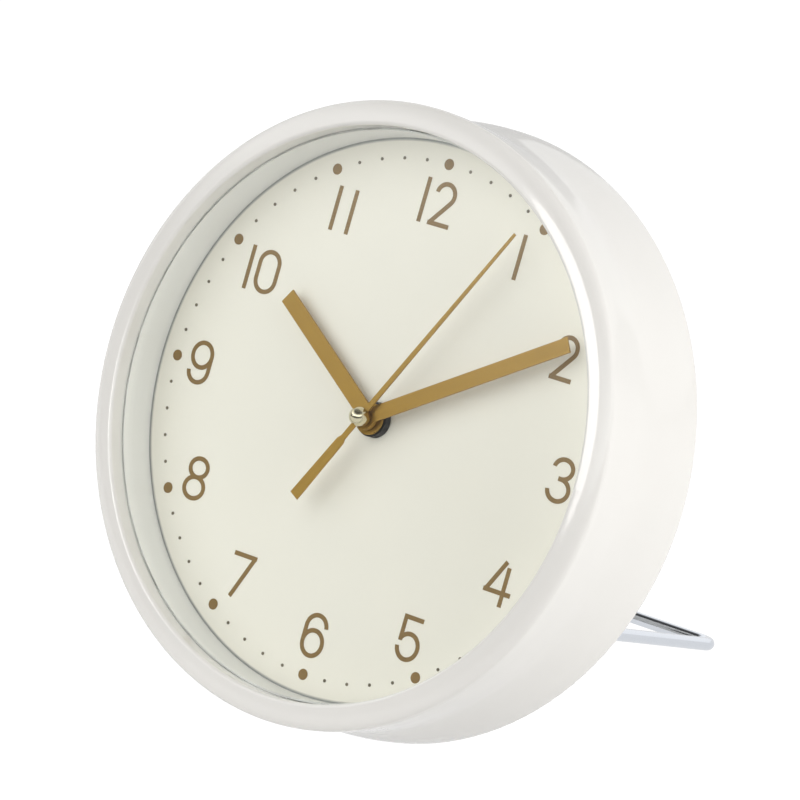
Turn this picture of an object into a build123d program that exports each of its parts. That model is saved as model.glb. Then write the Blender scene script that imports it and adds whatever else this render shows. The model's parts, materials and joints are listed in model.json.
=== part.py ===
from build123d import *
from math import acos, atan2, cos, degrees, hypot, radians, sin
import os

os.makedirs("parts", exist_ok=True)

# Stance on the table, in degrees
lean = 25.7

# Clearances and allowances
running_fit = 0.08
seat_fit = 0.1
press_fit = 0.02
air_gap = 0.4

# Case: the rear rim's radius sets the drum, and the other radii step in from it
rear_r = 78.3
rear_band = 2.0
rear_round = 1.2
rim_wall = 2.3
cover_recess = 5.0
lip_inset = 0.5
lip_nose = 2.6
lip_inner_round = 0.9
lip_wall = 6.5
waist_inset = 1.7
waist_back = 2.0
cavity_step = 2.3
shelf_width = 5.3
shelf_thickness = 2.0

# Lens, inner ring and dial
lens_thickness = 1.2
lens_recess = 3.95
hand_clearance = 0.6
ring_lip = 0.45
ring_foot = 0.6
dial_thickness = 1.0

# Printing on the dial, its digits sized as shares of the dots' circle
print_thickness = 0.1
dot_inset = 5.1
hour_dot_d = 2.8
minute_dot_d = 0.85
hours = 12
minutes_per_hour_mark = 5
numeral_height_share = 0.174
numeral_width_share = 0.1115
numeral_stroke_share = 0.0176
pair_gap_shares = {10: 0.0916, 11: 0.0779, 12: 0.0916}
numeral_radius_shares = (
    0.849, 0.855, 0.866, 0.878, 0.858, 0.852, 0.847, 0.840, 0.861, 0.881, 0.823, 0.835
)
bowl_shares = (0.90, 0.47, 0.53)
terminal_angle = 6
two_width_share = 0.88
three_bar_share = 0.25
five_start_angle = 150
five_bowl_share = 0.62
four_bar_share = 0.455
four_stem_shares = (0.58, 0.81)
four_peak_share = 0.25
four_foot_share = 1.1
four_reach_share = 1.33
seven_shift_share = 0.18
seven_foot_share = 0.35
pair_back_share = 0.75

# Hands, with angles clockwise from twelve o'clock
hour_angle = 303.5
minute_angle = 58.6
seconds_angle = 28.7
hand_thickness = 0.5
hour_length_share = 0.635
hour_width = 4.3
hour_eye_d = 8.0
hour_height = 2.6
hour_eye_drop = 0.2
minute_length_share = 0.934
minute_width = 3.9
minute_eye_d = 6.0
minute_height = 4.6
minute_eye_drop = 0.9
seconds_length_share = 0.934
seconds_root_width = 1.45
seconds_tip_width = 0.7
seconds_neck_length = 7.0
seconds_tail_share = 0.412
seconds_paddle_width = 2.9
seconds_shoulder_width = 2.35
seconds_height = 6.4
seconds_thickness = 0.4
seconds_eye_d = 4.4
seconds_eye_drop = 0.9
cap_d = 4.9
cap_lift = 0.6

# Rear cover and its screws
cover_thickness = 2.0
cover_slack = 0.2
window_lap = 1.5
window_round = 3.0
screw_count = 4
screw_first_angle = 45
boss_d = 7.0
boss_sink = 0.4
screw_d = 2.6
screw_length = 10.0
screw_head_d = 5.6
screw_head_height = 1.6
screw_slot_width = 0.9
screw_slot_depth = 0.8
screw_cross_share = 0.62
screw_hole_spare = 0.5

# Folding wire stand and the ears that hold it
wire_d = 3.4
leg_spread = 90.0
leg_length = 87.9
pivot_below = 37.6
wire_bend_r = 5.0
pivot_bend_r = 3.6
ear_width = 4.5
ear_wall = 1.2
pin_overhang = 0.6

# Movement box
movement_round = 3.0
movement_wall = 1.1
base_thickness = 1.2
boss_outer_d = 8.8
boss_height = 2.0
hour_pipe_d = 5.1
minute_pipe_d = 3.2
clutch_d = 2.6
seconds_arbor_d = 1.3
arbor_d = 1.2
pivot_d = 0.8
pivot_length = 0.8
setting_arbor_d = 1.6
setting_pivot_d = 1.0
intermediate_stud_d = 1.4
rotor_stud_d = 1.0

# Toothed wheels: layers stack back from the base plate
first_layer_gap = 0.3
layer_pitch = 1.38
wheel_thickness = 0.8
pinion_extra = 0.1
addendum_share = 0.85
dedendum_share = 1.15
tooth_root_share = 0.85
tooth_tip_share = 0.38
hub_wall = 0.4
train_distance = 11.0
motion_distance = 12.0
step_distance = 9.0
rotor_distance = 8.75
rotor_side_angle = 20
pinion_teeth = 10
rotor_wheel_teeth = 60
seconds_teeth = 50
third_teeth = 75
centre_teeth = 80
cannon_teeth = 12
reduction_teeth = 36
hour_pinion_teeth = 12
hour_teeth = 48

# Stepping motor
rotor_d = 6.0
rotor_length = 2.6
rotor_gap = 0.6
stator_thickness = 0.7
stator_half_width = 17.0
stator_low = 7.2
stator_bridge_low = 16.0
stator_bridge = 2.6
stator_lobe_left = 3.6
core_width = 2.9
coil_length = 21.2
coil_flange_d = 6.4
coil_flange_thickness = 0.8
coil_wound_d = 5.8
bobbin_wall = 0.5
stator_post_d = 3.0

# Timing circuit
board_height = 11.9
board_thickness = 1.0
board_top_gap = 0.5
board_standoff = 2.0
board_post_d = 3.0
board_post_x = 18.0
chip_d = 7.0
chip_height = 1.2
chip_x = -6.0
can_d = 2.0
can_length = 6.2
can_x = 10.0

# Cell, its bay and its contacts
cell_d = 14.2
cell_length = 50.5
nub_d = 5.5
nub_length = 1.2
cell_edge_round = 0.6
contact_thickness = 0.4
contact_gap = 0.2
contact_height = 7.8
leaf_room = 1.9
cell_rear_gap = 0.3
bay_side_gap = 0.15
bay_wall = 1.0
bay_clearance = 1.5
saddle_x = 15.0
saddle_width = 1.4
saddle_height = 3.2

# Setting knob
knob_d = 10.0
knob_height = 3.6
knob_seat_depth = 2.2
knob_flutes = 20
knob_flute_d = 0.9
knob_edge_round = 0.5

# Radii of the case, ring and dial, stepped in from the rear rim
lip_r = rear_r - lip_inset
waist_r = rear_r - waist_inset
bore_r = lip_r - lip_wall
lip_crest_r = bore_r + lip_inner_round
lip_run = lip_r - lip_crest_r
cavity_r = bore_r + cavity_step
shelf_r = bore_r - shelf_width
cover_seat_r = rear_r - rim_wall
screw_circle_r = cavity_r - boss_d / 2 + boss_sink
ring_front_r = bore_r - seat_fit - ring_lip
ring_back_r = bore_r - seat_fit - ring_foot
dot_circle_r = ring_back_r - dot_inset

# Heights above the dial: the lens clears the highest hand and the lip stands proud of the lens
seconds_top = seconds_height + seconds_thickness
ring_height = seconds_top + cap_lift + cap_d / 2 + hand_clearance
case_front = ring_height + lens_thickness + lens_recess

# The movement's box holds the cell, the widest wheel below the centre and the stack of layers
seconds_third_module = 2 * train_distance / (pinion_teeth + third_teeth)
wheel_reach = seconds_third_module * (third_teeth / 2 + addendum_share)
cell_room = cell_d + 2 * bay_side_gap
movement_width = cell_length + leaf_room + 3 * contact_gap + 2 * (contact_thickness + movement_wall)
movement_height = 2 * (wheel_reach + bay_clearance + bay_wall + cell_room + movement_wall)
train_stack = first_layer_gap + 5 * layer_pitch + wheel_thickness + rotor_length + 2 * air_gap
movement_depth = base_thickness + max(
    seat_fit + cell_d + cell_rear_gap, train_stack + movement_wall
)

# Depths behind the dial's face that several pieces share
base_front = dial_thickness
base_back = base_front + base_thickness
movement_back = base_front + movement_depth
inside_back = movement_back - movement_wall
cover_front = movement_back + cover_slack
cover_back = cover_front + cover_thickness
case_back = cover_back + cover_recess
wire_r = wire_d / 2
pivot_back = cover_back + wire_r + air_gap
leg_x = leg_spread / 2
ear_r = wire_r + seat_fit + ear_wall
ear_x = leg_x + pivot_bend_r + air_gap

# How the clock stands: its rear rim and the stand's cross-bar touch the table at the stated lean
tilt = radians(lean)
rim_centre_r = rear_r - rear_round
rim_centre_back = case_back - rear_round
dial_height = rim_centre_r * cos(tilt) + rim_centre_back * sin(tilt) + rear_round
pivot_height = -pivot_below * cos(tilt) - pivot_back * sin(tilt)
open_angle = degrees(acos((wire_r - dial_height - pivot_height) / leg_length)) - lean
swing = radians(open_angle)
bar_up = -pivot_below + leg_length * cos(swing)
bar_back = pivot_back + leg_length * sin(swing)
front_reach = (
    lip_crest_r * sin(tilt)
    + (case_front - lip_nose) * cos(tilt)
    + hypot(lip_run * sin(tilt), lip_nose * cos(tilt))
)
back_reach = bar_up * sin(tilt) + bar_back * cos(tilt) + wire_r
clock = Plane(
    origin=(0, (front_reach - back_reach) / 2, dial_height),
    x_dir=(1, 0, 0),
    z_dir=(0, -cos(tilt), sin(tilt)),
)
clock_axis = Axis(clock.origin, clock.z_dir)

# Half plane through the axis: across is radius, up is distance in front of the dial
section = Plane(origin=clock.origin, x_dir=clock.x_dir, z_dir=-clock.y_dir)


def spot(x, y, z):
    """A plane parallel to the dial at a place in the clock's own frame."""
    return Plane(
        origin=clock.from_local_coords(Vector(x, y, z)), x_dir=clock.x_dir, z_dir=clock.z_dir
    )


def side(x):
    """A plane square to the three o'clock direction: across is up the dial, up is out of it."""
    return Plane(
        origin=clock.from_local_coords(Vector(x, 0, 0)), x_dir=clock.y_dir, z_dir=clock.x_dir
    )


def pointing(angle, z):
    """A plane parallel to the dial whose x runs along a hand at that clock angle."""
    way = clock.x_dir * sin(radians(angle)) + clock.y_dir * cos(radians(angle))
    return Plane(origin=spot(0, 0, z).origin, x_dir=way, z_dir=clock.z_dir)


def round_bar(place, z_from, z_to, diameter, mode=Mode.ADD):
    """A cylinder parallel to the clock's axis."""
    with BuildSketch(spot(*place, z_from)) as outline:
        Circle(diameter / 2)
    extrude(outline.sketch, amount=z_to - z_from, mode=mode)


def block(x_range, y_range, z_from, z_to, corner=0, mode=Mode.ADD):
    """A rectangular block square to the clock's axis, its corners rounded if asked."""
    middle = (sum(x_range) / 2, sum(y_range) / 2)
    with BuildSketch(spot(*middle, z_from)) as outline:
        if corner:
            RectangleRounded(x_range[1] - x_range[0], y_range[1] - y_range[0], corner)
        else:
            Rectangle(x_range[1] - x_range[0], y_range[1] - y_range[0])
    extrude(outline.sketch, amount=z_to - z_from, mode=mode)


def layer(number):
    """Front of one layer of the train."""
    return -(base_back + first_layer_gap + number * layer_pitch)


def tooth_outline(teeth, module, turn):
    """Corner points round a toothed wheel, with one tooth centred on the turn angle."""
    pitch_r = module * teeth / 2
    root_r = pitch_r - dedendum_share * module
    tip_r = pitch_r + addendum_share * module
    half_tooth = 90 / teeth
    root_half = tooth_root_share * half_tooth
    tip_half = tooth_tip_share * half_tooth
    corners = ((root_r, -root_half), (tip_r, -tip_half), (tip_r, tip_half), (root_r, root_half))
    points = []
    for tooth in range(teeth):
        for radius, offset in corners:
            angle = radians(turn + tooth * 360 / teeth + offset)
            points.append((radius * cos(angle), radius * sin(angle)))
    return points


def toothed(place, teeth, module, turn, number, extra=0):
    """A toothed wheel in one layer of the train."""
    front = layer(number) + extra
    with BuildSketch(spot(*place, front)) as outline:
        with BuildLine():
            Polyline(*tooth_outline(teeth, module, turn), close=True)
        make_face()
    extrude(outline.sketch, amount=-(wheel_thickness + 2 * extra))


def facing(angle, teeth):
    """Turn that puts a gap between teeth where a neighbour at that angle has a tooth."""
    return angle + 180 + 180 / teeth


def finish(builder, name):
    builder.part.label = name
    export_step(builder.part, f"parts/{name}.step")


# Places of the arbors in the clock's frame
centre_place = (0, 0)
third_place = (train_distance, 0)
setting_place = (-motion_distance, 0)
step_place = (0, step_distance)
rotor_place = (
    step_place[0] + rotor_distance * cos(radians(rotor_side_angle)),
    step_place[1] + rotor_distance * sin(radians(rotor_side_angle)),
)
third_centre_module = 2 * train_distance / (pinion_teeth + centre_teeth)
cannon_module = 2 * motion_distance / (cannon_teeth + reduction_teeth)
hour_module = 2 * motion_distance / (hour_pinion_teeth + hour_teeth)
step_module = 2 * step_distance / (pinion_teeth + seconds_teeth)
rotor_module = 2 * rotor_distance / (pinion_teeth + rotor_wheel_teeth)
third_angle = 0
setting_angle = 180
step_angle = 90

# Case shell: drum with a rounded lip, a slight waist and a shelf for the dial
lip_start = case_front - lip_nose
rear_band_start = -(case_back - rear_round - rear_band)
shelf_back = -(dial_thickness + shelf_thickness)
with BuildPart() as case_shell:
    with BuildSketch(section):
        with BuildLine():
            CenterArc((lip_crest_r, case_front - lip_inner_round), lip_inner_round, 90, 90)
            EllipticalCenterArc((lip_crest_r, lip_start), lip_run, lip_nose, 0, arc_size=90)
            Spline(
                (lip_r, lip_start), (waist_r, -waist_back), (rear_r, rear_band_start),
                tangents=[(0, -1)] * 3,
            )
            Line((rear_r, rear_band_start), (rear_r, -rim_centre_back))
            CenterArc((rim_centre_r, -rim_centre_back), rear_round, 270, 90)
            Polyline(
                (rim_centre_r, -case_back),
                (cover_seat_r, -case_back),
                (cover_seat_r, -cover_front),
                (cavity_r, -cover_front),
                (cavity_r, shelf_back),
                (shelf_r, shelf_back),
                (shelf_r, -dial_thickness),
                (bore_r, -dial_thickness),
                (bore_r, case_front - lip_inner_round),
            )
        make_face()
    revolve(axis=clock_axis)
    with BuildSketch(spot(*centre_place, shelf_back)):
        with PolarLocations(screw_circle_r, screw_count, start_angle=screw_first_angle):
            Circle(boss_d / 2)
    extrude(amount=-(cover_front + shelf_back))
    with BuildSketch(spot(*centre_place, -cover_front)):
        with PolarLocations(screw_circle_r, screw_count, start_angle=screw_first_angle):
            Circle(screw_d / 2 + press_fit)
    extrude(amount=screw_length, mode=Mode.SUBTRACT)
finish(case_shell, "case_shell")

# Lens: flat clear disc that seats on the inner ring
with BuildPart() as lens:
    round_bar(centre_place, ring_height, ring_height + lens_thickness, 2 * (bore_r - seat_fit))
finish(lens, "lens")

# Inner ring: tapered white wall between the dial and the lens
with BuildPart() as inner_ring:
    with BuildSketch(section):
        with BuildLine():
            Polyline(
                (ring_back_r, 0),
                (bore_r - seat_fit, 0),
                (bore_r - seat_fit, ring_height),
                (ring_front_r, ring_height),
                close=True,
            )
        make_face()
    revolve(axis=clock_axis)
finish(inner_ring, "inner_ring")

# Dial: thin disc on the case's shelf, with a hole for the movement's boss
with BuildPart() as dial:
    round_bar(centre_place, -dial_thickness, 0, 2 * (bore_r - seat_fit))
    round_bar(centre_place, -dial_thickness, 0, boss_outer_d + 2 * seat_fit, Mode.SUBTRACT)
finish(dial, "dial")

# Numerals: strokes of one width, upright, each on its hour's line
numeral_stroke = dot_circle_r * numeral_stroke_share
half_w = (dot_circle_r * numeral_width_share - numeral_stroke) / 2
half_h = (dot_circle_r * numeral_height_share - numeral_stroke) / 2
half_stroke = numeral_stroke / 2
full_circle = 360


def stroke_one():
    Line((0, -half_h - half_stroke), (0, half_h + half_stroke))


def stroke_zero():
    straight = half_h - half_w
    CenterArc((0, straight), half_w, 0, 180)
    CenterArc((0, -straight), half_w, 180, 180)
    Line((-half_w, -straight), (-half_w, straight))
    Line((half_w, -straight), (half_w, straight))


def stroke_two():
    wide = two_width_share * half_w
    middle = half_h - wide
    reach = hypot(wide, half_h + middle)
    leave = degrees(atan2(-half_h - middle, -wide) + acos(wide / reach))
    CenterArc((0, middle), wide, leave, 180 - terminal_angle - leave)
    edge = (wide * cos(radians(leave)), middle + wide * sin(radians(leave)))
    Line(edge, (-wide, -half_h))
    Line((-wide - half_stroke, -half_h), (wide + half_stroke, -half_h))


def stroke_three():
    upper = bowl_shares[1] * half_h
    lower = bowl_shares[2] * half_h
    wide = bowl_shares[0] * half_w
    sweep_angle = 270 - terminal_angle
    EllipticalCenterArc((0, half_h - upper), wide, upper, -90, arc_size=sweep_angle)
    start = 180 + terminal_angle
    EllipticalCenterArc((0, lower - half_h), half_w, lower, start, arc_size=sweep_angle)
    Line((-three_bar_share * half_w, half_h - 2 * upper), (0, half_h - 2 * upper))


def stroke_four():
    bar = -four_bar_share * half_h
    stem = four_stem_shares[0] * half_w
    reach = four_reach_share * half_w
    Line((stem, -half_h - half_stroke), (stem, four_stem_shares[1] * half_h))
    Line((four_peak_share * half_w, half_h + half_stroke / 2), (-four_foot_share * half_w, bar))
    Line((-reach, bar), (reach, bar))


def stroke_five():
    tall = five_bowl_share * half_h
    middle = tall - half_h
    edge_x = half_w * cos(radians(five_start_angle))
    edge_y = middle + tall * sin(radians(five_start_angle))
    sweep_angle = 180 + five_start_angle - terminal_angle
    EllipticalCenterArc((0, middle), half_w, tall, 180 + terminal_angle, arc_size=sweep_angle)
    Line((edge_x, edge_y - half_stroke), (edge_x, half_h))
    Line((edge_x - half_stroke, half_h), (half_w * bowl_shares[0], half_h))


def stroke_six(way=1):
    tall = five_bowl_share * half_h
    turn = 0 if way > 0 else 180
    CenterArc((0, way * (half_h - half_w)), half_w, turn + terminal_angle, 180 - terminal_angle)
    Line((-way * half_w, way * (half_h - half_w)), (-way * half_w, way * (tall - half_h)))
    for start in (0, 180):
        EllipticalCenterArc((0, way * (tall - half_h)), half_w, tall, start, arc_size=180)


def stroke_seven():
    shift = seven_shift_share * half_w
    Line((shift - half_w - half_stroke, half_h), (shift + half_w + half_stroke, half_h))
    Line((shift + half_w, half_h), (-seven_foot_share * half_w, -half_h - half_stroke))


def stroke_eight():
    for share, way, wide in ((bowl_shares[1], 1, bowl_shares[0]), (bowl_shares[2], -1, 1)):
        tall = share * half_h
        for start in (0, 180):
            EllipticalCenterArc((0, way * (half_h - tall)), wide * half_w, tall, start, arc_size=180)


def stroke_nine():
    stroke_six(-1)


digit_strokes = (
    stroke_zero, stroke_one, stroke_two, stroke_three, stroke_four,
    stroke_five, stroke_six, stroke_seven, stroke_eight, stroke_nine,
)
pair_shift = (half_w + half_stroke) / 2


def digit_places(hour):
    """Each digit of an hour with its shift from the middle of the numeral."""
    if hour < 10:
        return [(hour, 0)]
    gap = dot_circle_r * pair_gap_shares[hour]
    back = gap / 2 + (0 if hour == 11 else pair_shift * pair_back_share)
    return [(1, -back), (hour % 10, gap - back)]


with BuildPart() as hour_numerals:
    for hour in range(1, hours + 1):
        around = radians(hour * full_circle / hours)
        radius = dot_circle_r * numeral_radius_shares[hour % hours]
        for digit, shift in digit_places(hour):
            with BuildSketch(spot(radius * sin(around) + shift, radius * cos(around), 0)):
                with BuildLine(mode=Mode.PRIVATE) as strokes:
                    digit_strokes[digit]()
                for stroke in strokes.edges():
                    trace(stroke, line_width=numeral_stroke)
            extrude(amount=print_thickness)
finish(hour_numerals, "hour_numerals")

# Dots: large on the hours, small on the other minutes
minute_marks = hours * minutes_per_hour_mark
with BuildPart() as hour_dots:
    with BuildSketch(spot(*centre_place, 0)):
        with PolarLocations(dot_circle_r, hours):
            Circle(hour_dot_d / 2)
    extrude(amount=print_thickness)
finish(hour_dots, "hour_dots")

with BuildPart() as minute_dots:
    with BuildSketch(spot(*centre_place, 0)):
        for mark in range(1, minutes_per_hour_mark):
            with PolarLocations(dot_circle_r, hours, start_angle=mark * full_circle / minute_marks):
                Circle(minute_dot_d / 2)
    extrude(amount=print_thickness)
finish(minute_dots, "minute_dots")

# Hour hand: straight bar with a round eye on the hour pipe
with BuildPart() as hour_hand:
    with BuildSketch(pointing(hour_angle, hour_height)):
        Rectangle(dot_circle_r * hour_length_share, hour_width, align=(Align.MIN, Align.CENTER))
    extrude(amount=hand_thickness)
    round_bar(centre_place, hour_height - hour_eye_drop, hour_height + hand_thickness, hour_eye_d)
    round_bar(
        centre_place, hour_height - hour_eye_drop, hour_height + hand_thickness,
        hour_pipe_d + 2 * press_fit, Mode.SUBTRACT,
    )
finish(hour_hand, "hour_hand")

# Minute hand: longer bar on the minute pipe
with BuildPart() as minute_hand:
    with BuildSketch(pointing(minute_angle, minute_height)):
        Rectangle(dot_circle_r * minute_length_share, minute_width, align=(Align.MIN, Align.CENTER))
    extrude(amount=hand_thickness)
    round_bar(
        centre_place, minute_height - minute_eye_drop, minute_height + hand_thickness, minute_eye_d
    )
    round_bar(
        centre_place, minute_height - minute_eye_drop, minute_height + hand_thickness,
        minute_pipe_d + 2 * press_fit, Mode.SUBTRACT,
    )
finish(minute_hand, "minute_hand")

# Seconds hand: tapering needle with a paddle tail and a collar
seconds_length = dot_circle_r * seconds_length_share
seconds_tail_length = dot_circle_r * seconds_tail_share
with BuildPart() as seconds_hand:
    with BuildSketch(pointing(seconds_angle, seconds_height)):
        with BuildLine():
            Polyline(
                (seconds_length, seconds_tip_width / 2),
                (0, seconds_root_width / 2),
                (-seconds_neck_length, seconds_root_width / 2),
                (-seconds_neck_length - seconds_shoulder_width / 2, seconds_shoulder_width / 2),
                (-seconds_tail_length, seconds_paddle_width / 2),
                (-seconds_tail_length, -seconds_paddle_width / 2),
                (-seconds_neck_length - seconds_shoulder_width / 2, -seconds_shoulder_width / 2),
                (-seconds_neck_length, -seconds_root_width / 2),
                (0, -seconds_root_width / 2),
                (seconds_length, -seconds_tip_width / 2),
                close=True,
            )
        make_face()
    extrude(amount=seconds_thickness)
    round_bar(centre_place, seconds_height - seconds_eye_drop, seconds_top, seconds_eye_d)
    round_bar(
        centre_place, seconds_height - seconds_eye_drop, seconds_top,
        seconds_arbor_d + 2 * press_fit, Mode.SUBTRACT,
    )
finish(seconds_hand, "seconds_hand")

# Seconds cap: polished ball cut flat where it sits on the seconds hand
with BuildPart() as seconds_cap:
    with BuildSketch(section):
        with Locations((0, seconds_top + cap_lift)):
            Circle(cap_d / 2)
            Rectangle(cap_d, cap_d, align=(Align.MAX, Align.CENTER), mode=Mode.SUBTRACT)
    revolve(axis=clock_axis)
    block((-cap_d, cap_d), (-cap_d, cap_d), seconds_top, 0, mode=Mode.SUBTRACT)
finish(seconds_cap, "seconds_cap")

# Rear cover: recessed plate with a window on the movement and two ears for the stand
window_x = (window_lap - movement_width / 2, movement_width / 2 - window_lap)
window_y = (window_lap - movement_height / 2, movement_height / 2 - window_lap)
with BuildPart() as rear_cover:
    round_bar(centre_place, -cover_front, -cover_back, 2 * (cover_seat_r - seat_fit))
    block(window_x, window_y, -cover_front, -cover_back, window_round, Mode.SUBTRACT)
    with BuildSketch(spot(*centre_place, -cover_front)):
        with PolarLocations(screw_circle_r, screw_count, start_angle=screw_first_angle):
            Circle((screw_d + screw_hole_spare) / 2)
    extrude(amount=-cover_thickness, mode=Mode.SUBTRACT)
    for ear_start in (ear_x, -ear_x - ear_width):
        with BuildSketch(side(ear_start)):
            with Locations((-pivot_below, -pivot_back)):
                Circle(ear_r)
                Rectangle(2 * ear_r, pivot_back - cover_back, align=(Align.CENTER, Align.MIN))
        extrude(amount=ear_width)
        with BuildSketch(side(ear_start)):
            with Locations((-pivot_below, -pivot_back)):
                Circle(wire_r + running_fit)
        extrude(amount=ear_width, mode=Mode.SUBTRACT)
finish(rear_cover, "rear_cover")

# Cover screws: four alike, round heads with a cross
with BuildPart() as cover_screws:
    with BuildSketch(spot(*centre_place, -cover_back)):
        with PolarLocations(screw_circle_r, screw_count, start_angle=screw_first_angle):
            Circle(screw_head_d / 2)
    extrude(amount=-screw_head_height)
    with BuildSketch(spot(*centre_place, -cover_back)):
        with PolarLocations(screw_circle_r, screw_count, start_angle=screw_first_angle):
            Circle(screw_d / 2)
    extrude(amount=screw_length)
    with BuildSketch(spot(*centre_place, -cover_back - screw_head_height)):
        with PolarLocations(screw_circle_r, screw_count, start_angle=screw_first_angle):
            Rectangle(screw_head_d * screw_cross_share, screw_slot_width)
            Rectangle(screw_slot_width, screw_head_d * screw_cross_share)
    extrude(amount=screw_slot_depth, mode=Mode.SUBTRACT)
finish(cover_screws, "cover_screws")

# Wire stand: one bent wire, its ends turned out into the ears
leg_way = clock.y_dir * cos(swing) - clock.z_dir * sin(swing)
stand_plane = Plane(
    origin=clock.from_local_coords(Vector(0, -pivot_below, -pivot_back)),
    x_dir=clock.x_dir,
    z_dir=clock.x_dir.cross(leg_way),
)
pin_x = ear_x + ear_width + pin_overhang
with BuildPart() as wire_stand:
    with BuildLine(stand_plane) as wire_route:
        FilletPolyline(
            (-pin_x, 0), (-leg_x, 0), (-leg_x, leg_length), (leg_x, leg_length), (leg_x, 0), (pin_x, 0),
            radius=[pivot_bend_r, wire_bend_r, wire_bend_r, pivot_bend_r],
        )
    with BuildSketch(Plane(origin=wire_route.line @ 0, z_dir=wire_route.line % 0)):
        Circle(wire_r)
    sweep(path=wire_route.line)
finish(wire_stand, "wire_stand")

# Movement base: front plate with the boss that comes through the dial
box_x = (-movement_width / 2, movement_width / 2)
box_y = (-movement_height / 2, movement_height / 2)
cell_up = -movement_height / 2 + movement_wall + cell_room / 2
cell_back = base_back + seat_fit + cell_d / 2
board_low = movement_height / 2 - movement_wall - board_top_gap - board_height
board_middle = board_low + board_height / 2
board_front = base_back + board_standoff
with BuildPart() as movement_base:
    block(box_x, box_y, -base_front, -base_back, movement_round)
    round_bar(centre_place, -base_front, boss_height, boss_outer_d)
    round_bar(
        centre_place, -base_back, boss_height, hour_pipe_d + 2 * running_fit, Mode.SUBTRACT
    )
    for post_x in (-board_post_x, board_post_x):
        round_bar((post_x, board_middle), -base_back, -board_front, board_post_d)
    for middle in (-saddle_x, saddle_x):
        block(
            (middle - saddle_width / 2, middle + saddle_width / 2),
            (cell_up - cell_d / 2, cell_up + cell_d / 2),
            -base_back, -base_back - saddle_height,
        )
    with BuildSketch(side(-saddle_x - saddle_width)):
        with Locations((cell_up, -cell_back)):
            Circle(cell_d / 2 + seat_fit)
    extrude(amount=2 * (saddle_x + saddle_width), mode=Mode.SUBTRACT)
    round_bar(
        third_place, -base_back, -base_back + pivot_length, pivot_d + 2 * running_fit, Mode.SUBTRACT
    )
    round_bar(
        setting_place, -base_back, -base_back + pivot_length,
        setting_pivot_d + 2 * running_fit, Mode.SUBTRACT,
    )
finish(movement_base, "movement_base")

# Movement cover: rear box with the cell's bay, the studs and the rear bearings
inner = movement_width / 2 - movement_wall
inner_up = movement_height / 2 - movement_wall
bay_top = cell_up + cell_room / 2
stator_front = -(-layer(5) + wheel_thickness + air_gap + (rotor_length - stator_thickness) / 2)
stator_back = stator_front - stator_thickness
bridge_top = stator_bridge_low + stator_bridge
window_top = bridge_top + (coil_flange_d - core_width) / 2 + air_gap
core_top = window_top + core_width
coil_up = (window_top + core_top) / 2
coil_back = -(stator_front + stator_back) / 2
stator_leg_x = (stator_half_width + coil_length / 2) / 2
with BuildPart() as movement_cover:
    block(box_x, box_y, -base_back, -movement_back, movement_round)
    block((-inner, inner), (-inner_up, inner_up), -base_back, -inside_back, 0, Mode.SUBTRACT)
    block((-inner, inner), (bay_top, bay_top + bay_wall), -base_back, -inside_back)
    block((-inner, inner), (-inner_up, bay_top), -inside_back, -movement_back, 0, Mode.SUBTRACT)
    for strip_x in (-inner, inner - contact_thickness - contact_gap - seat_fit):
        block(
            (strip_x, strip_x + contact_thickness + contact_gap + seat_fit),
            (bay_top, bay_top + bay_wall),
            -base_back, -inside_back, 0, Mode.SUBTRACT,
        )
    round_bar(step_place, -inside_back, layer(4) + air_gap, intermediate_stud_d)
    round_bar(rotor_place, -inside_back, layer(5) + air_gap, rotor_stud_d)
    for post_x in (-stator_leg_x, stator_leg_x):
        round_bar((post_x, coil_up), -inside_back, stator_back, stator_post_d)
    round_bar(
        centre_place, -inside_back, -inside_back - pivot_length,
        pivot_d + 2 * running_fit, Mode.SUBTRACT,
    )
    round_bar(
        third_place, -inside_back, -inside_back - pivot_length,
        pivot_d + 2 * running_fit, Mode.SUBTRACT,
    )
    round_bar(
        setting_place, -inside_back, -movement_back,
        setting_arbor_d + 2 * running_fit, Mode.SUBTRACT,
    )
finish(movement_cover, "movement_cover")

# Hour wheel with its pipe
with BuildPart() as hour_wheel:
    toothed(centre_place, hour_teeth, hour_module, facing(setting_angle + 180, hour_teeth), 0)
    round_bar(centre_place, layer(0), hour_height + hand_thickness, hour_pipe_d)
    round_bar(
        centre_place, layer(0) - wheel_thickness, hour_height + hand_thickness,
        minute_pipe_d + 2 * running_fit, Mode.SUBTRACT,
    )
finish(hour_wheel, "hour_wheel")

# Minute pipe with the cannon pinion and the seat of the friction clutch
pipe_back = layer(3) + pinion_extra + air_gap / 2
with BuildPart() as minute_pipe:
    round_bar(centre_place, layer(1), minute_height + hand_thickness, minute_pipe_d)
    toothed(centre_place, cannon_teeth, cannon_module, setting_angle, 1, pinion_extra)
    round_bar(centre_place, layer(1), pipe_back, clutch_d)
    round_bar(
        centre_place, pipe_back, minute_height + hand_thickness,
        seconds_arbor_d + 2 * running_fit, Mode.SUBTRACT,
    )
finish(minute_pipe, "minute_pipe")

# Reduction wheel: wheel, hour pinion and the arbor that carries the setting knob
knob_front = movement_back + air_gap
setting_back = knob_front + knob_seat_depth
with BuildPart() as reduction_wheel:
    toothed(
        setting_place, reduction_teeth, cannon_module, facing(setting_angle, reduction_teeth), 1
    )
    toothed(
        setting_place, hour_pinion_teeth, hour_module, setting_angle + 180, 0, pinion_extra
    )
    round_bar(setting_place, layer(0), -setting_back, setting_arbor_d)
    round_bar(setting_place, layer(0), -base_back + pivot_length - air_gap / 2, setting_pivot_d)
finish(reduction_wheel, "reduction_wheel")

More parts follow.
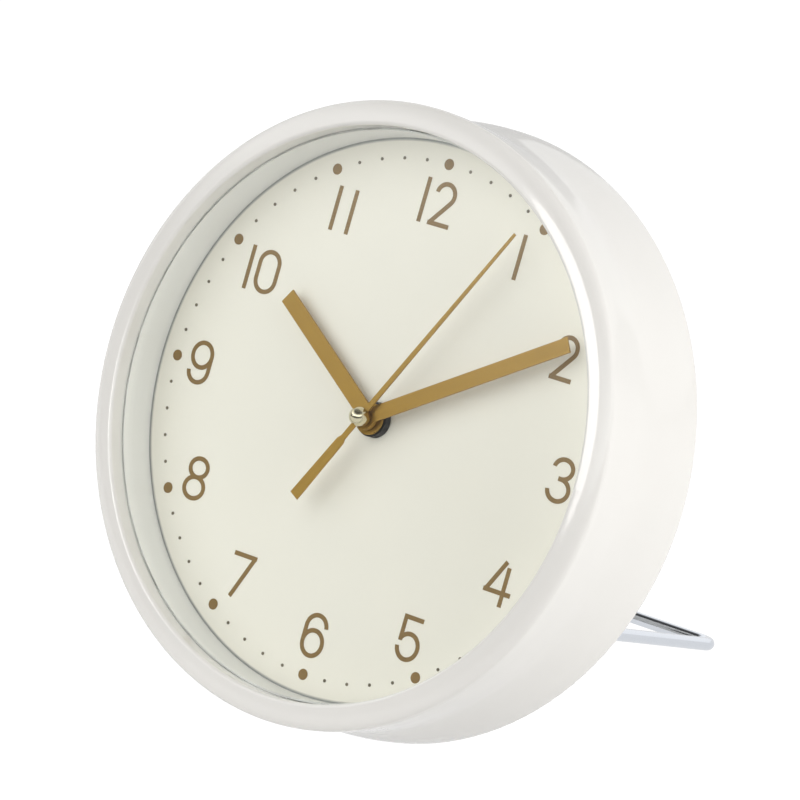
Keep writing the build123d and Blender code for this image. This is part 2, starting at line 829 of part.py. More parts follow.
# Setting knob: fluted disc pressed on the reduction arbor
with BuildPart() as setting_knob:
    round_bar(setting_place, -knob_front, -knob_front - knob_height, knob_d)
    fillet(setting_knob.edges().sort_by(clock_axis)[0], knob_edge_round)
    with BuildSketch(spot(*setting_place, -knob_front)):
        with PolarLocations(knob_d / 2, knob_flutes):
            Circle(knob_flute_d / 2)
    extrude(amount=-knob_height, mode=Mode.SUBTRACT)
    round_bar(
        setting_place, -knob_front, -setting_back - press_fit,
        setting_arbor_d + 2 * press_fit, Mode.SUBTRACT,
    )
finish(setting_knob, "setting_knob")

# Centre wheel: driven by the third pinion, friction-held on the minute pipe
with BuildPart() as centre_wheel:
    toothed(centre_place, centre_teeth, third_centre_module, facing(third_angle + 180, centre_teeth), 2)
    round_bar(
        centre_place, layer(2), layer(2) - wheel_thickness, clutch_d + 2 * running_fit, Mode.SUBTRACT
    )
finish(centre_wheel, "centre_wheel")

# Third wheel and its pinion on one arbor
with BuildPart() as third_wheel:
    toothed(third_place, pinion_teeth, third_centre_module, third_angle + 180, 2, pinion_extra)
    toothed(third_place, third_teeth, seconds_third_module, facing(third_angle, third_teeth), 3)
    round_bar(
        third_place, -base_back - running_fit, -inside_back + running_fit, arbor_d
    )
    round_bar(
        third_place, -base_back + pivot_length - air_gap / 2,
        -inside_back - pivot_length + air_gap / 2, pivot_d,
    )
finish(third_wheel, "third_wheel")

# Seconds wheel and its pinion on the long central arbor
with BuildPart() as seconds_wheel:
    toothed(centre_place, pinion_teeth, seconds_third_module, third_angle, 3, pinion_extra)
    toothed(centre_place, seconds_teeth, step_module, facing(step_angle + 180, seconds_teeth), 4)
    round_bar(centre_place, seconds_top, -inside_back + running_fit, seconds_arbor_d)
    round_bar(
        centre_place, -inside_back + running_fit, -inside_back - pivot_length + air_gap / 2, pivot_d
    )
finish(seconds_wheel, "seconds_wheel")

# Intermediate wheel and its pinion, turning on a stud
with BuildPart() as intermediate_wheel:
    toothed(step_place, pinion_teeth, step_module, step_angle + 180, 4, pinion_extra)
    toothed(
        step_place, rotor_wheel_teeth, rotor_module, facing(rotor_side_angle + 180, rotor_wheel_teeth), 5
    )
    round_bar(
        step_place, layer(4), layer(5) - wheel_thickness, intermediate_stud_d + 2 * hub_wall
    )
    round_bar(
        step_place, layer(4) + pinion_extra, -inside_back,
        intermediate_stud_d + 2 * running_fit, Mode.SUBTRACT,
    )
finish(intermediate_wheel, "intermediate_wheel")

# Rotor: magnet with its pinion, turning on a stud
rotor_front = layer(5) - wheel_thickness - air_gap
with BuildPart() as rotor:
    toothed(rotor_place, pinion_teeth, rotor_module, rotor_side_angle, 5, pinion_extra)
    round_bar(rotor_place, rotor_front, rotor_front - rotor_length, rotor_d)
    round_bar(rotor_place, layer(5), rotor_front, rotor_stud_d + 2 * hub_wall)
    round_bar(
        rotor_place, layer(5) + pinion_extra, rotor_front - rotor_length,
        rotor_stud_d + 2 * running_fit, Mode.SUBTRACT,
    )
finish(rotor, "rotor")

# Stator: flat iron frame round the rotor, with the coil's core along its top
coil_half = coil_length / 2
frame_x = (-stator_half_width, stator_half_width)
with BuildPart() as stator:
    block(frame_x, (stator_bridge_low, core_top), stator_front, stator_back)
    block((stator_lobe_left, stator_half_width), (stator_low, stator_bridge_low), stator_front, stator_back)
    block(
        (-coil_half - seat_fit, coil_half + seat_fit), (bridge_top, window_top),
        stator_front, stator_back, 0, Mode.SUBTRACT,
    )
    round_bar(rotor_place, stator_front, stator_back, rotor_d + 2 * rotor_gap, Mode.SUBTRACT)
finish(stator, "stator")

# Coil bobbin: spool on the core
core_r = hypot(core_width / 2, stator_thickness / 2) + bobbin_wall
coil_middle = (coil_up, -coil_back)
with BuildPart() as coil_bobbin:
    with BuildSketch(side(-coil_half)):
        with Locations(coil_middle):
            Circle(core_r)
    extrude(amount=coil_length)
    for start in (-coil_half, coil_half - coil_flange_thickness):
        with BuildSketch(side(start)):
            with Locations(coil_middle):
                Circle(coil_flange_d / 2)
        extrude(amount=coil_flange_thickness)
    with BuildSketch(side(-coil_half)):
        with Locations(coil_middle):
            Rectangle(core_width + 2 * press_fit, stator_thickness + 2 * press_fit)
    extrude(amount=coil_length, mode=Mode.SUBTRACT)
finish(coil_bobbin, "coil_bobbin")

# Coil winding: copper sleeve between the flanges
with BuildPart() as coil_winding:
    with BuildSketch(side(-coil_half + coil_flange_thickness + press_fit)):
        with Locations(coil_middle):
            Circle(coil_wound_d / 2)
            Circle(core_r + press_fit, mode=Mode.SUBTRACT)
    extrude(amount=coil_length - 2 * (coil_flange_thickness + press_fit))
finish(coil_winding, "coil_winding")

# Circuit board on two posts, with its chip and its quartz can
strip_face = inner - contact_gap - contact_thickness
board_half = strip_face - press_fit
board_back = board_front + board_thickness
with BuildPart() as circuit_board:
    block((-board_half, board_half), (board_low, board_low + board_height), -board_front, -board_back)
finish(circuit_board, "circuit_board")

with BuildPart() as chip:
    round_bar((chip_x, board_middle), -board_back, -board_back - chip_height, chip_d)
    fillet(chip.edges().sort_by(clock_axis)[0], chip_height / 2)
finish(chip, "chip")

with BuildPart() as quartz_can:
    with BuildSketch(side(can_x)):
        with Locations((board_middle, -board_back - can_d / 2)):
            Circle(can_d / 2)
    extrude(amount=can_length)
finish(quartz_can, "quartz_can")

# Cell: one AA across the bottom of the movement
cell_plus = strip_face - contact_gap
cell_minus = cell_plus - cell_length
with BuildPart() as battery:
    with BuildSketch(side(cell_minus)):
        with Locations((cell_up, -cell_back)):
            Circle(cell_d / 2)
    extrude(amount=cell_length - nub_length)
    fillet(battery.edges(), cell_edge_round)
    with BuildSketch(side(cell_plus - nub_length)):
        with Locations((cell_up, -cell_back)):
            Circle(nub_d / 2)
    extrude(amount=nub_length)
finish(battery, "battery")

# Contacts: strips up the side walls to the board, the negative one with a sprung leaf
strip_middle = strip_face + contact_thickness / 2
strip_top = board_middle
strip_low = -inner_up + contact_gap
leaf_x = cell_minus - contact_gap - contact_thickness / 2
with BuildPart() as positive_contact:
    block((strip_face, strip_face + contact_thickness), (strip_low, strip_top),
          -board_front, -board_front - contact_height)
finish(positive_contact, "positive_contact")

with BuildPart() as negative_contact:
    block((-strip_face - contact_thickness, -strip_face), (strip_low, strip_top),
          -board_front, -board_front - contact_height)
    with BuildSketch(spot(*centre_place, -board_front)):
        with BuildLine():
            Polyline((-strip_middle, strip_low), (leaf_x, cell_up), (-strip_middle, bay_top))
        trace(line_width=contact_thickness)
    extrude(amount=-contact_height)
finish(negative_contact, "negative_contact")

print(f"stand opens {open_angle:.2f} degrees from the cover")
for name, point in (
    ("clock centre", Vector(0, 0, 0)),
    ("stand pivot", Vector(0, -pivot_below, -pivot_back)),
    ("third arbor", Vector(*third_place, 0)),
    ("setting arbor", Vector(*setting_place, 0)),
    ("step arbor", Vector(*step_place, 0)),
    ("rotor arbor", Vector(*rotor_place, 0)),
):
    place = clock.from_local_coords(point)
    print(f"{name}: {place.X:.4f} {place.Y:.4f} {place.Z:.4f}")
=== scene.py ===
import json
import math

import bmesh
import bpy
from mathutils import Matrix, Vector


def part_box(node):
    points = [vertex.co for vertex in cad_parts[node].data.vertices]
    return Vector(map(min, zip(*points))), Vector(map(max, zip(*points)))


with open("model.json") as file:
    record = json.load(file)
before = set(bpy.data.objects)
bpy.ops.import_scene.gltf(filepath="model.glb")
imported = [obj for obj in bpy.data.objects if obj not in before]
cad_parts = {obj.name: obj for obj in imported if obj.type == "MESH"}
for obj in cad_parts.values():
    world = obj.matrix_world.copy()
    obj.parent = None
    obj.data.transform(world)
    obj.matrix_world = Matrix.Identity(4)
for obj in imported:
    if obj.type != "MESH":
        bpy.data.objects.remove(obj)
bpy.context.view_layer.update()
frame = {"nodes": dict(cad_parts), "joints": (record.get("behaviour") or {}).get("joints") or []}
nodes = frame["nodes"]
scene = bpy.context.scene
scene.view_settings.view_transform = "Standard"
mm = 0.001  # one millimetre in the scene's metres
print("frame loaded:", len(nodes), "nodes")

# the clock's own frame, from the axis of its hands: across the dial, up the dial and out of it
handJoint = next(joint for joint in frame["joints"] if joint["name"] == "seconds_turn")
clockCentre = Vector(handJoint["pos_m"])
dialAcross = Vector((1, 0, 0))
dialOut = -Vector(handJoint["axis"])
dialUp = dialOut.cross(dialAcross)

# camera, from the photograph's viewing angle
cameraSet = {
    "away": (-0.005643, 0.005003, 1.232790),  # clock's centre seen from the camera: right, down, ahead
    "right": (0.77275, 0.63471, 0.00055),
    "up": (-0.25002, 0.30360, 0.91941),
    "back": (0.58339, -0.71061, 0.39330),
    "lens": 224.84,
    "near": 0.05,
    "far": 40.0,
}
cameraData = bpy.data.cameras.new("photoCamera")
cameraData.lens = cameraSet["lens"]
cameraData.clip_start = cameraSet["near"]
cameraData.clip_end = cameraSet["far"]
camera = bpy.data.objects.new("photoCamera", cameraData)
cameraRight, cameraUp, cameraBack = (Vector(cameraSet[way]) for way in ("right", "up", "back"))
awayRight, awayDown, awayAhead = cameraSet["away"]
cameraPlace = clockCentre - cameraRight * awayRight + cameraUp * awayDown + cameraBack * awayAhead
turned = Matrix((cameraRight, cameraUp, cameraBack)).transposed()
camera.matrix_world = Matrix.Translation(cameraPlace) @ turned.to_4x4()
scene.collection.objects.link(camera)
scene.camera = camera
print("camera placed")


# node helpers
def addNode(tree, kind, **settings):
    node = tree.nodes.new(kind)
    for name, value in settings.items():
        setattr(node, name, value)
    return node


def setInputs(node, **values):  # underscores stand for spaces
    for name, value in values.items():
        node.inputs[name.replace("_", " ")].default_value = value
    return node


def feed(tree, value, socket):  # a plain value is set, an output is linked
    if isinstance(value, (int, float, tuple)):
        socket.default_value = value
    else:
        tree.links.new(value, socket)


def startGroup(name, inputs, outputs):
    group = bpy.data.node_groups.new(name, "ShaderNodeTree")
    kinds = {"f": "NodeSocketFloat", "c": "NodeSocketColor", "v": "NodeSocketVector"}
    for label, kind, value in inputs:
        socket = group.interface.new_socket(label, in_out="INPUT", socket_type=kinds[kind])
        socket.default_value = value
    for label, kind in outputs:
        group.interface.new_socket(label, in_out="OUTPUT", socket_type=kinds[kind])
    return group, addNode(group, "NodeGroupInput").outputs, addNode(group, "NodeGroupOutput").inputs


def mathNode(tree, operation, *values):
    node = addNode(tree, "ShaderNodeMath", operation=operation)
    for socket, value in zip(node.inputs, values):
        feed(tree, value, socket)
    return node.outputs[0]


def vectorNode(tree, operation, first, second):
    node = addNode(tree, "ShaderNodeVectorMath", operation=operation)
    feed(tree, first, node.inputs[0])
    feed(tree, second, node.inputs["Scale" if operation == "SCALE" else 1])
    return node.outputs["Value" if operation == "DOT_PRODUCT" else "Vector"]


def mixColour(tree, share, first, second, blend="MIX"):
    node = addNode(tree, "ShaderNodeMix", data_type="RGBA", blend_type=blend)
    for index, value in ((0, share), (6, first), (7, second)):  # 6 and 7 are its colour sockets
        feed(tree, value, node.inputs[index])
    return node.outputs[2]


def mixShader(tree, share, first, second):
    node = addNode(tree, "ShaderNodeMixShader")
    for socket, value in zip(node.inputs, (share, first, second)):
        feed(tree, value, socket)
    return node.outputs[0]


def noiseAt(tree, place, scale, detail):
    node = addNode(tree, "ShaderNodeTexNoise")
    for name, value in (("Vector", place), ("Scale", scale), ("Detail", detail)):
        feed(tree, value, node.inputs[name])
    return node.outputs["Fac"]


def spread(tree, value, low, high, fromLow=0.3, fromHigh=0.7):  # a noise mostly stays in this range
    node = addNode(tree, "ShaderNodeMapRange")
    limits = {"From Min": fromLow, "From Max": fromHigh, "To Min": low, "To Max": high}
    for name, limit in limits.items():
        feed(tree, limit, node.inputs[name])
    feed(tree, value, node.inputs["Value"])
    return node.outputs["Result"]


def choose(tree, share, off, on):  # off where the share is nought, on where it is one
    return spread(tree, share, off, on, 0.0, 1.0)


def objectPlace(tree):
    return addNode(tree, "ShaderNodeTexCoord").outputs["Object"]


def lightRays(tree):
    return addNode(tree, "ShaderNodeLightPath").outputs


def seenOrMirrored(tree, rays):
    mirroredRay = mathNode(tree, "MAXIMUM", rays["Is Glossy Ray"], rays["Is Transmission Ray"])
    return mathNode(tree, "MAXIMUM", rays["Is Camera Ray"], mirroredRay)


def opaque(colour):
    return (*colour, 1)


# moulded plastic: slow colour flow, fine spark grain and uneven gloss
grainSet = {"flowDetail": 3.0, "grainDetail": 1.0, "patchScale": 170.0, "patchDetail": 4.0,
            "grainShare": 0.4, "patchShare": 0.6}
mouldGrain, given, made = startGroup(
    "mouldGrain",
    [("Colour", "c", (0.8, 0.8, 0.8, 1)), ("Flow Colour", "c", (0.75, 0.75, 0.75, 1)),
     ("Flow Scale", "f", 28.0), ("Grain Scale", "f", 2600.0),
     ("Roughness Low", "f", 0.38), ("Roughness High", "f", 0.48)],
    [("Colour", "c"), ("Roughness", "f"), ("Height", "f")],
)
place = objectPlace(mouldGrain)
flow = noiseAt(mouldGrain, place, given["Flow Scale"], grainSet["flowDetail"])
flowShare = spread(mouldGrain, flow, 0.0, 1.0)
feed(mouldGrain, mixColour(mouldGrain, flowShare, given["Colour"], given["Flow Colour"]), made["Colour"])
grain = noiseAt(mouldGrain, place, given["Grain Scale"], grainSet["grainDetail"])
patches = noiseAt(mouldGrain, place, grainSet["patchScale"], grainSet["patchDetail"])
gloss = mathNode(mouldGrain, "ADD", mathNode(mouldGrain, "MULTIPLY", grain, grainSet["grainShare"]),
                 mathNode(mouldGrain, "MULTIPLY", patches, grainSet["patchShare"]))
feed(mouldGrain, spread(mouldGrain, gloss, given["Roughness Low"], given["Roughness High"]),
     made["Roughness"])
feed(mouldGrain, grain, made["Height"])

# distance from the hands' axis and place across the dial, in millimetres
axisRings, given, made = startGroup(
    "axisRings",
    [("Centre", "v", tuple(clockCentre))],
    [("Radius", "f"), ("Across", "f")],
)
offset = vectorNode(axisRings, "SUBTRACT", objectPlace(axisRings), given["Centre"])
across = vectorNode(axisRings, "DOT_PRODUCT", offset, tuple(dialAcross / mm))
up = vectorNode(axisRings, "DOT_PRODUCT", offset, tuple(dialUp / mm))
squared = mathNode(axisRings, "ADD", mathNode(axisRings, "POWER", across, 2.0),
                   mathNode(axisRings, "POWER", up, 2.0))
feed(axisRings, mathNode(axisRings, "SQRT", squared), made["Radius"])
feed(axisRings, across, made["Across"])

# drawn or brushed metal: long streaks along one direction
streakSet = {"scale": 1.0, "detail": 2.0}
metalStreaks, given, made = startGroup(
    "metalStreaks",
    [("Colour", "c", (0.6, 0.6, 0.6, 1)), ("Streak Colour", "c", (0.5, 0.5, 0.5, 1)),
     ("Along", "v", (1, 0, 0)), ("Stretch", "f", 60.0), ("Fineness", "f", 6000.0),
     ("Roughness Low", "f", 0.3), ("Roughness High", "f", 0.45)],
    [("Colour", "c"), ("Roughness", "f"), ("Height", "f")],
)
place = objectPlace(metalStreaks)
alongPart = vectorNode(metalStreaks, "SCALE", given["Along"],
                       vectorNode(metalStreaks, "DOT_PRODUCT", place, given["Along"]))
sidePart = vectorNode(metalStreaks, "SUBTRACT", place, alongPart)
streakPlace = vectorNode(metalStreaks, "ADD", vectorNode(metalStreaks, "SCALE", sidePart, given["Fineness"]),
                         vectorNode(metalStreaks, "SCALE", alongPart, given["Stretch"]))
streak = noiseAt(metalStreaks, streakPlace, streakSet["scale"], streakSet["detail"])
streakShare = spread(metalStreaks, streak, 0.0, 1.0)
feed(metalStreaks, mixColour(metalStreaks, streakShare, given["Colour"], given["Streak Colour"]),
     made["Colour"])
feed(metalStreaks, spread(metalStreaks, streak, given["Roughness Low"], given["Roughness High"]),
     made["Roughness"])
feed(metalStreaks, streak, made["Height"])
print("shared effects built")


# materials
def startMaterial(name, **shine):
    material = bpy.data.materials.new(name)
    material.use_nodes = True
    tree = material.node_tree
    return material, tree, setInputs(tree.nodes["Principled BSDF"], **shine)


def useGroup(tree, group, **values):
    return setInputs(addNode(tree, "ShaderNodeGroup", node_tree=group), **values).outputs


def applyEffect(tree, shader, effect, depth):
    feed(tree, effect["Colour"], shader.inputs["Base Color"])
    feed(tree, effect["Roughness"], shader.inputs["Roughness"])
    bump = setInputs(addNode(tree, "ShaderNodeBump"), Strength=1.0, Distance=depth)
    feed(tree, effect["Height"], bump.inputs["Height"])
    feed(tree, bump.outputs["Normal"], shader.inputs["Normal"])


def mouldedPlastic(name, colour, flow, rough, grain=2600.0, flowScale=28.0, depth=1.5e-5):
    material, tree, shader = startMaterial(name)
    effect = useGroup(tree, mouldGrain, Colour=opaque(colour), Flow_Colour=opaque(flow), Flow_Scale=flowScale,
                      Grain_Scale=grain, Roughness_Low=rough[0], Roughness_High=rough[1])
    applyEffect(tree, shader, effect, depth)
    return material


def streakedMetal(name, along, colour, streak, rough, metallic=1.0, depth=4e-6):
    material, tree, shader = startMaterial(name, Metallic=metallic)
    effect = useGroup(tree, metalStreaks, Along=tuple(along), Colour=opaque(colour),
                      Streak_Colour=opaque(streak), Roughness_Low=rough[0], Roughness_High=rough[1])
    applyEffect(tree, shader, effect, depth)
    return material


def dress(material, *names):
    for name in names:
        slots = nodes[name].data.materials
        slots.clear()
        slots.append(material)


# case: glossy white moulding
caseSet = {"colour": (0.765, 0.757, 0.735), "flow": (0.75, 0.742, 0.72), "rough": (0.05, 0.09),
           "depth": 1.5e-6}
dress(mouldedPlastic("caseWhite", **caseSet), "case_shell")

# rear cover: matt white moulding with a coarser grain
coverSet = {"colour": (0.80, 0.795, 0.77), "flow": (0.775, 0.77, 0.75), "rough": (0.45, 0.6),
            "grain": 1500.0, "depth": 3e-5}
dress(mouldedPlastic("coverWhite", **coverSet), "rear_cover")

# ring between the dial and the lens
ringSet = {"colour": (0.86, 0.86, 0.84), "flow": (0.845, 0.845, 0.825), "rough": (0.42, 0.55)}
dress(mouldedPlastic("ringGrey", **ringSet), "inner_ring")

# dial: matt cream sheet with a faint paper-like tooth and a painted shadow line where it meets the ring,
# standing in for the shade in the seam
dialSet = {"colour": (0.91, 0.88, 0.79), "flow": (0.895, 0.87, 0.785), "rough": (0.5, 0.62),
           "grain": 4200.0, "flowScale": 40.0, "depth": 6e-6}
dialSeamShadeSet = {"colour": (0.32, 0.33, 0.32), "from": 1.5, "to": 0.9}  # millimetres in from the dial's rim
dialCream = mouldedPlastic("dialCream", **dialSet)
tree = dialCream.node_tree
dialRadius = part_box("dial")[1].x / mm
# painted seam shade: a dark band just inside the dial's rim
seamShadeShare = spread(tree, useGroup(tree, axisRings)["Radius"], 0.0, 1.0,
                   dialRadius - dialSeamShadeSet["from"], dialRadius - dialSeamShadeSet["to"])
baseColour = tree.nodes["Principled BSDF"].inputs["Base Color"]
plainColour = baseColour.links[0].from_socket
feed(tree, mixColour(tree, seamShadeShare, plainColour, opaque(dialSeamShadeSet["colour"])), baseColour)
dress(dialCream, "dial")

# printing: gold-brown and dark ink with a little flake in it
inkSet = {"grain": 5200.0, "depth": 5e-6}
inkGoldSet = {"colour": (0.265, 0.155, 0.034), "flow": (0.235, 0.135, 0.029), "rough": (0.42, 0.6)}
inkDarkSet = {"colour": (0.17, 0.14, 0.09), "flow": (0.14, 0.115, 0.075), "rough": (0.45, 0.6)}
dress(mouldedPlastic("inkGold", **inkGoldSet, **inkSet), "hour_numerals", "hour_dots")
dress(mouldedPlastic("inkDark", **inkDarkSet, **inkSet), "minute_dots")

# hands: satin gold, brushed along their length
handSet = {"colour": (0.44, 0.272, 0.062), "streak": (0.40, 0.246, 0.055), "rough": (0.42, 0.54),
           "metallic": 0.85}
handAngles = {"hour_hand": 303.5, "minute_hand": 58.6, "seconds_hand": 28.7}  # clockwise from twelve
for handName, angle in handAngles.items():
    turn = math.radians(angle)
    handWay = dialAcross * math.sin(turn) + dialUp * math.cos(turn)
    dress(streakedMetal(handName + "Gold", handWay, **handSet), handName)

# cap: polished brass ball
capSet = {"colour": (0.74, 0.68, 0.50), "streak": (0.71, 0.65, 0.47), "rough": (0.05, 0.1), "depth": 4e-7}
dress(streakedMetal("capBrass", dialOut, **capSet), "seconds_cap")

# stand: bright chrome on drawn wire
standSet = {"colour": (0.76, 0.79, 0.84), "streak": (0.72, 0.755, 0.81), "rough": (0.06, 0.13), "depth": 6e-7}
dress(streakedMetal("standChrome", dialAcross, **standSet), "wire_stand")

# screws: zinc-plated steel
screwSet = {"colour": (0.60, 0.60, 0.60), "streak": (0.52, 0.52, 0.52), "rough": (0.28, 0.42)}
dress(streakedMetal("screwZinc", dialOut, **screwSet), "cover_screws")

# movement: black moulding and white wheels
movementSet = {"colour": (0.022, 0.022, 0.024), "flow": (0.03, 0.03, 0.032), "rough": (0.42, 0.6),
               "grain": 1800.0, "depth": 3e-5}
dress(mouldedPlastic("movementBlack", **movementSet), "movement_base", "movement_cover", "setting_knob",
      "chip")
wheelSet = {"colour": (0.78, 0.77, 0.72), "flow": (0.74, 0.73, 0.68), "rough": (0.4, 0.55)}
dress(mouldedPlastic("wheelWhite", **wheelSet), "hour_wheel", "minute_pipe", "reduction_wheel",
      "centre_wheel", "third_wheel", "seconds_wheel", "intermediate_wheel", "coil_bobbin")

# motor: soft iron, a grey magnet and copper wire
statorSet = {"colour": (0.5, 0.5, 0.51), "streak": (0.42, 0.42, 0.43), "rough": (0.35, 0.5)}
dress(streakedMetal("softIron", dialAcross, **statorSet), "stator")
rotorSet = {"colour": (0.16, 0.16, 0.17), "streak": (0.12, 0.12, 0.13), "rough": (0.4, 0.6)}
dress(streakedMetal("magnetGrey", dialOut, **rotorSet), "rotor")
windingSet = {"colour": (0.72, 0.33, 0.15), "streak": (0.55, 0.22, 0.09), "rough": (0.22, 0.36)}
dress(streakedMetal("copperWire", dialUp, **windingSet), "coil_winding")

# circuit: green board, bright steel can and contacts
boardSet = {"colour": (0.03, 0.16, 0.06), "flow": (0.025, 0.13, 0.05), "rough": (0.2, 0.35), "grain": 1200.0}
dress(mouldedPlastic("boardGreen", **boardSet), "circuit_board")
steelSet = {"colour": (0.68, 0.68, 0.69), "streak": (0.6, 0.6, 0.61), "rough": (0.18, 0.3)}
dress(streakedMetal("canSteel", dialAcross, **steelSet), "quartz_can", "positive_contact", "negative_contact")

# cell: plain dark jacket, a gold band at its positive end and bare steel ends, with lengths in millimetres
cellSet = {"jacket": (0.05, 0.052, 0.058), "band": (0.55, 0.36, 0.13), "steel": (0.66, 0.66, 0.67),
           "shade": (0.95, 0.95, 0.95), "streak": (0.85, 0.85, 0.85), "rough": (0.22, 0.34),
           "bandMetallic": 0.8, "bandLength": 13.0, "plusLength": 1.7, "minusLength": 0.85}
cellJacket, tree, shader = startMaterial("cellJacket")
streaks = useGroup(tree, metalStreaks, Along=tuple(dialAcross), Colour=opaque(cellSet["shade"]),
                   Streak_Colour=opaque(cellSet["streak"]), Roughness_Low=cellSet["rough"][0],
                   Roughness_High=cellSet["rough"][1])
cellFrom, cellTo = (corner.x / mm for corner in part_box("battery"))
across = useGroup(tree, axisRings)["Across"]
bandShare = mathNode(tree, "GREATER_THAN", across, cellTo - cellSet["bandLength"])
plusEnd = mathNode(tree, "GREATER_THAN", across, cellTo - cellSet["plusLength"])
minusEnd = mathNode(tree, "LESS_THAN", across, cellFrom + cellSet["minusLength"])
endShare = mathNode(tree, "MAXIMUM", plusEnd, minusEnd)
printed = mixColour(tree, bandShare, opaque(cellSet["jacket"]), opaque(cellSet["band"]))
bare = mixColour(tree, endShare, printed, opaque(cellSet["steel"]))
bandMetallic = mathNode(tree, "MULTIPLY", bandShare, cellSet["bandMetallic"])
feed(tree, mixColour(tree, 1.0, bare, streaks["Colour"], "MULTIPLY"), shader.inputs["Base Color"])
feed(tree, mathNode(tree, "MAXIMUM", endShare, bandMetallic), shader.inputs["Metallic"])
feed(tree, streaks["Roughness"], shader.inputs["Roughness"])
dress(cellJacket, "battery")

# lens: clear pane that lets the lamps reach the dial, left fully clear at its edge
lensSet = {"tint": (0.985, 0.995, 0.99), "bend": 1.46, "clearEdge": 0.08}  # edge in millimetres
lensClear, tree, shader = startMaterial("lensClear", Base_Color=opaque(lensSet["tint"]), Roughness=0.0,
                                        IOR=lensSet["bend"], Transmission_Weight=1.0)
clearFilm = setInputs(addNode(tree, "ShaderNodeBsdfTransparent"), Color=opaque(lensSet["tint"]))
rays = lightRays(tree)
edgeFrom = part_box("lens")[1].x / mm - lensSet["clearEdge"]
atEdge = mathNode(tree, "GREATER_THAN", useGroup(tree, axisRings)["Radius"], edgeFrom)
passing = mathNode(tree, "MAXIMUM", rays["Is Shadow Ray"], rays["Is Diffuse Ray"])
clearShare = mathNode(tree, "MAXIMUM", passing, atEdge)
feed(tree, mixShader(tree, clearShare, shader.outputs[0], clearFilm.outputs[0]),
     tree.nodes["Material Output"].inputs["Surface"])
dress(lensClear, "lens")
print("materials dressed")

# floor: white sweep with a faint shadow, dull in front and a little darker where the chrome mirrors it
floorSet = {"half": 8.0, "colour": (0.85, 0.85, 0.85), "front": (0.2, 0.2, 0.2), "frontFrom": -0.1,
            "frontTo": -0.4, "glow": 1.14, "glowShare": 0.88, "mirrored": 0.9, "dark": 0.72,
            "darkWay": (-0.63, 0.77, 0.12), "darkFrom": 0.16, "darkTo": 0.6}
floorMesh = bpy.data.meshes.new("floor")
floorShape = bmesh.new()
corners = [floorShape.verts.new((x * floorSet["half"], y * floorSet["half"], 0))
           for x, y in ((-1, -1), (1, -1), (1, 1), (-1, 1))]
floorShape.faces.new(corners)
floorShape.to_mesh(floorMesh)
floorShape.free()
floor = bpy.data.objects.new("floor", floorMesh)
scene.collection.objects.link(floor)
floorWhite = bpy.data.materials.new("floorWhite")
floorWhite.use_nodes = True
tree = floorWhite.node_tree
tree.nodes.remove(tree.nodes["Principled BSDF"])
rays = lightRays(tree)
place = objectPlace(tree)
placeParts = addNode(tree, "ShaderNodeSeparateXYZ")
feed(tree, place, placeParts.inputs[0])
frontShare = spread(tree, placeParts.outputs["Y"], 0.0, 1.0, floorSet["frontFrom"], floorSet["frontTo"])
matt = addNode(tree, "ShaderNodeBsdfDiffuse")
feed(tree, mixColour(tree, frontShare, opaque(floorSet["colour"]), opaque(floorSet["front"])),
     matt.inputs["Color"])
farBehind = vectorNode(tree, "DOT_PRODUCT", place, tuple(Vector(floorSet["darkWay"]).normalized()))
mirroredGlow = spread(tree, farBehind, floorSet["mirrored"], floorSet["dark"],
                      floorSet["darkFrom"], floorSet["darkTo"])
glow = addNode(tree, "ShaderNodeEmission")
feed(tree, choose(tree, rays["Is Glossy Ray"], floorSet["glow"], mirroredGlow), glow.inputs["Strength"])
glowShare = mathNode(tree, "MULTIPLY", seenOrMirrored(tree, rays), floorSet["glowShare"])
feed(tree, mixShader(tree, glowShare, matt.outputs[0], glow.outputs[0]),
     tree.nodes["Material Output"].inputs["Surface"])
floorMesh.materials.append(floorWhite)

# world: even ambient, white backdrop, and a mirrored studio that is dim low in front and dark overhead
worldSet = {"ambient": (1.0, 0.995, 0.985), "level": 0.31, "backdrop": 1.0,
            "behind": 1.05, "behindTo": -0.1, "frontFrom": 0.4,
            "frontLow": 0.12, "lowTo": 0.30, "frontHigh": 2.2, "highFrom": 0.42,
            "overhead": 0.06, "overheadFrom": 0.5, "overheadTo": 0.78}
world = bpy.data.worlds.new("studio")
world.use_nodes = True
tree = world.node_tree
ambient = setInputs(tree.nodes["Background"], Color=opaque(worldSet["ambient"]), Strength=worldSet["level"])
backdrop = setInputs(addNode(tree, "ShaderNodeBackground"), Color=(1, 1, 1, 1))
rays = lightRays(tree)
heading = addNode(tree, "ShaderNodeTexCoord").outputs["Generated"]
headingParts = addNode(tree, "ShaderNodeSeparateXYZ")
feed(tree, heading, headingParts.inputs[0])
rise = headingParts.outputs["Z"]
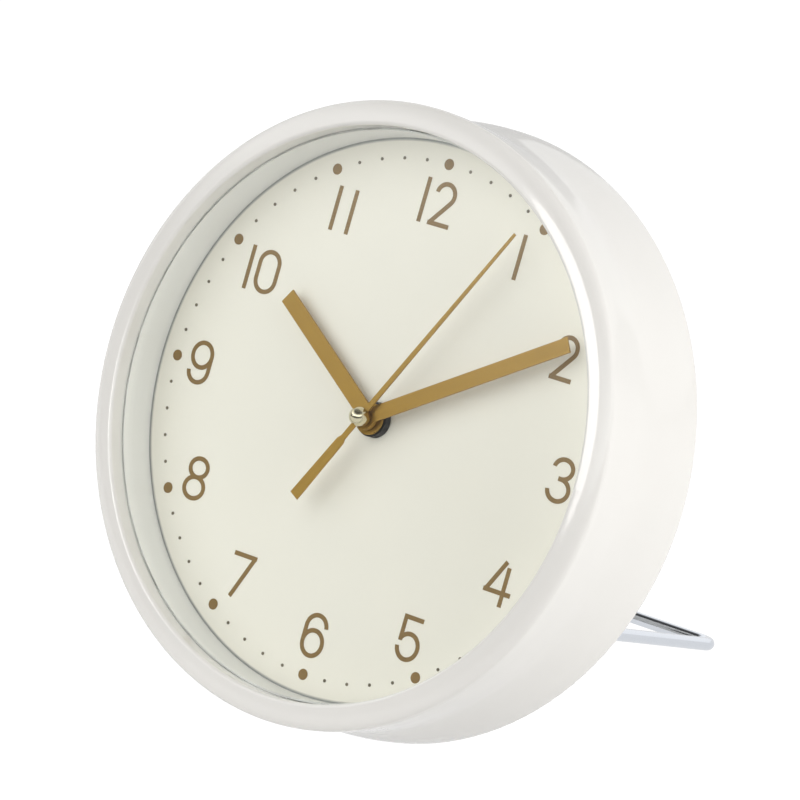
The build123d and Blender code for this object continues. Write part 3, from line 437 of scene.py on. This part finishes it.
towardFront = vectorNode(tree, "DOT_PRODUCT", heading, tuple(dialOut))
inFront = spread(tree, rise, worldSet["frontLow"], worldSet["frontHigh"],
                 worldSet["lowTo"], worldSet["highFrom"])
around = spread(tree, towardFront, worldSet["behind"], inFront, worldSet["behindTo"], worldSet["frontFrom"])
mirrored = spread(tree, rise, around, worldSet["overhead"], worldSet["overheadFrom"], worldSet["overheadTo"])
feed(tree, choose(tree, rays["Is Camera Ray"], mirrored, worldSet["backdrop"]), backdrop.inputs["Strength"])
feed(tree, mixShader(tree, seenOrMirrored(tree, rays), ambient.outputs[0], backdrop.outputs[0]),
     tree.nodes["World Output"].inputs["Surface"])
scene.world = world

# lamps, each placed by its way from the clock: one only glints, the others only give matt light
lampSet = {
    "frontBox": {"way": (-0.28, -0.809, 0.517), "away": 1.3, "size": 0.55, "power": 4.6, "glint": True},
    "leftBox": {"way": (-0.35, -0.76, 0.543), "away": 1.0, "size": 1.6, "power": 9.9, "glint": False},
    "rightBox": {"way": (0.92, 0.22, 0.24), "away": 1.9, "size": 2.4, "power": 46.0, "glint": False},
}
lampColour = (1.0, 0.985, 0.965)
glinting = bpy.data.collections.new("glinting")  # the front box glints on everything but the pane
for name, node in nodes.items():
    if name != "lens":
        glinting.objects.link(node)
for lampName, lamp in lampSet.items():
    lampData = bpy.data.lights.new(lampName, "AREA")
    lampData.shape = "DISK"
    lampData.size = lamp["size"]
    lampData.energy = lamp["power"]
    lampData.color = lampColour
    lampObject = bpy.data.objects.new(lampName, lampData)
    lampWay = Vector(lamp["way"]).normalized()
    lampObject.location = clockCentre + lampWay * lamp["away"]
    lampObject.rotation_mode = "QUATERNION"
    lampObject.rotation_quaternion = (-lampWay).to_track_quat("-Z", "Y")
    lampObject.visible_glossy = lamp["glint"]
    lampObject.visible_transmission = lamp["glint"]
    lampObject.visible_diffuse = not lamp["glint"]
    if lamp["glint"]:
        lampObject.light_linking.receiver_collection = glinting
    scene.collection.objects.link(lampObject)
print("floor, world and lamps set")
